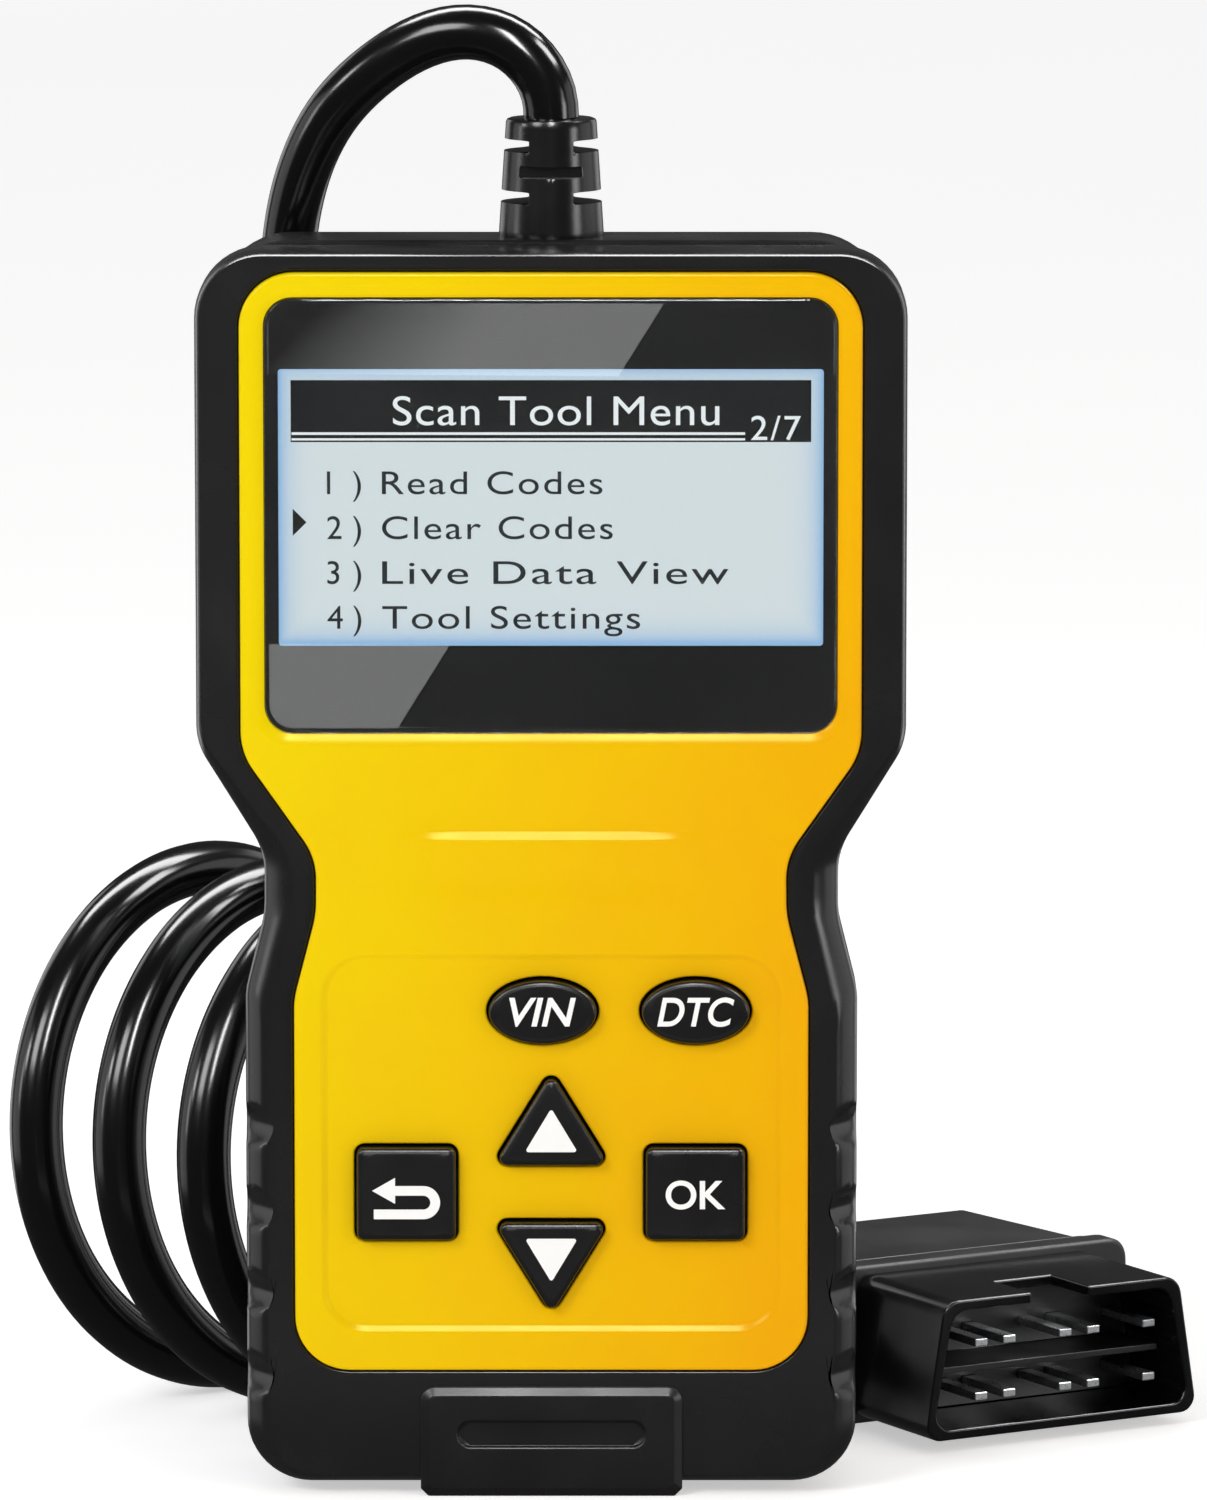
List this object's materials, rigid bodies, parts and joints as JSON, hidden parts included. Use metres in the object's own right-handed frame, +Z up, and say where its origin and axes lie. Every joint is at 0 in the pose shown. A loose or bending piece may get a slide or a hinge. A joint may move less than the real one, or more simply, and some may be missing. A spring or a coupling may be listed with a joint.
{
  "type": "obd code reader",
  "caption": "Handheld vehicle code reader with a screen, sprung keys, a coiled cord and a 16-way diagnostic plug.",
  "frame": {"origin": "under the middle of the case, on the surface that it stands on", "axes": "+Z up the case towards the cord outlet, -Y out of the screen, +X to the right of someone facing the screen"},
  "size_m": [0.1442, 0.1064, 0.1743],
  "materials": {
    "case_black": "satin",
    "soft_black": "satin",
    "yellow_shell": "satin",
    "lens_clear": "gloss",
    "printed_black": "gloss",
    "display": "gloss",
    "light_guide": "satin",
    "flex_film": "gloss",
    "circuit_board": "satin",
    "chip_black": "matte",
    "can_aluminium": "satin",
    "plated_steel": "satin",
    "screw_black": "satin",
    "nylon_white": "satin",
    "wire_red": "satin",
    "cord_jacket": "gloss",
    "keypad_rubber": "matte",
    "label_film": "satin",
    "key_black": "satin",
    "plug_black": "gloss",
    "pin_metal": "bright"
  },
  "bodies": {
    "reader": {"front_housing": "case_black", "rear_housing": "case_black", "bottom_cap": "soft_black", "faceplate": "yellow_shell", "display_lens": "lens_clear", "lens_mask": "printed_black", "lcd_glass": "display", "lcd_frame": "plated_steel", "lcd_backlight": "light_guide", "lcd_flex": "flex_film", "main_board": "circuit_board", "microcontroller": "chip_black", "bus_transceivers": "chip_black", "power_regulator": "chip_black", "buzzer": "chip_black", "capacitors": "can_aluminium", "crystal": "plated_steel", "cable_header": "nylon_white", "cable_clamp": "nylon_white", "inner_wires": "wire_red", "inner_cable": "cord_jacket", "keypad_sheet": "keypad_rubber", "switch_domes": "plated_steel", "board_screws": "plated_steel", "case_screws": "screw_black", "plug_screws": "plated_steel", "rear_label": "label_film", "strain_relief": "soft_black", "cord": "cord_jacket", "plug_shroud": "plug_black", "plug_insert": "plug_black", "plug_hood_top": "plug_black", "plug_hood_bottom": "plug_black", "plug_pins": "pin_metal", "plug_boot": "soft_black"},
    "vin_button": {"vin_key": "key_black"},
    "dtc_button": {"dtc_key": "key_black"},
    "up_button": {"up_key": "key_black"},
    "down_button": {"down_key": "key_black"},
    "ok_button": {"ok_key": "key_black"},
    "back_button": {"back_key": "key_black"}
  },
  "joints": [
    {"name": "vin_press", "type": "slide", "parent": "reader", "child": "vin_button", "axis": [0, 1, 0], "range_m": [0, 0.0008], "stiffness_N_per_m": 400},
    {"name": "dtc_press", "type": "slide", "parent": "reader", "child": "dtc_button", "axis": [0, 1, 0], "range_m": [0, 0.0008], "stiffness_N_per_m": 400},
    {"name": "up_press", "type": "slide", "parent": "reader", "child": "up_button", "axis": [0, 1, 0], "range_m": [0, 0.0008], "stiffness_N_per_m": 400},
    {"name": "down_press", "type": "slide", "parent": "reader", "child": "down_button", "axis": [0, 1, 0], "range_m": [0, 0.0008], "stiffness_N_per_m": 400},
    {"name": "ok_press", "type": "slide", "parent": "reader", "child": "ok_button", "axis": [0, 1, 0], "range_m": [0, 0.0008], "stiffness_N_per_m": 400},
    {"name": "back_press", "type": "slide", "parent": "reader", "child": "back_button", "axis": [0, 1, 0], "range_m": [0, 0.0008], "stiffness_N_per_m": 400}
  ]
}
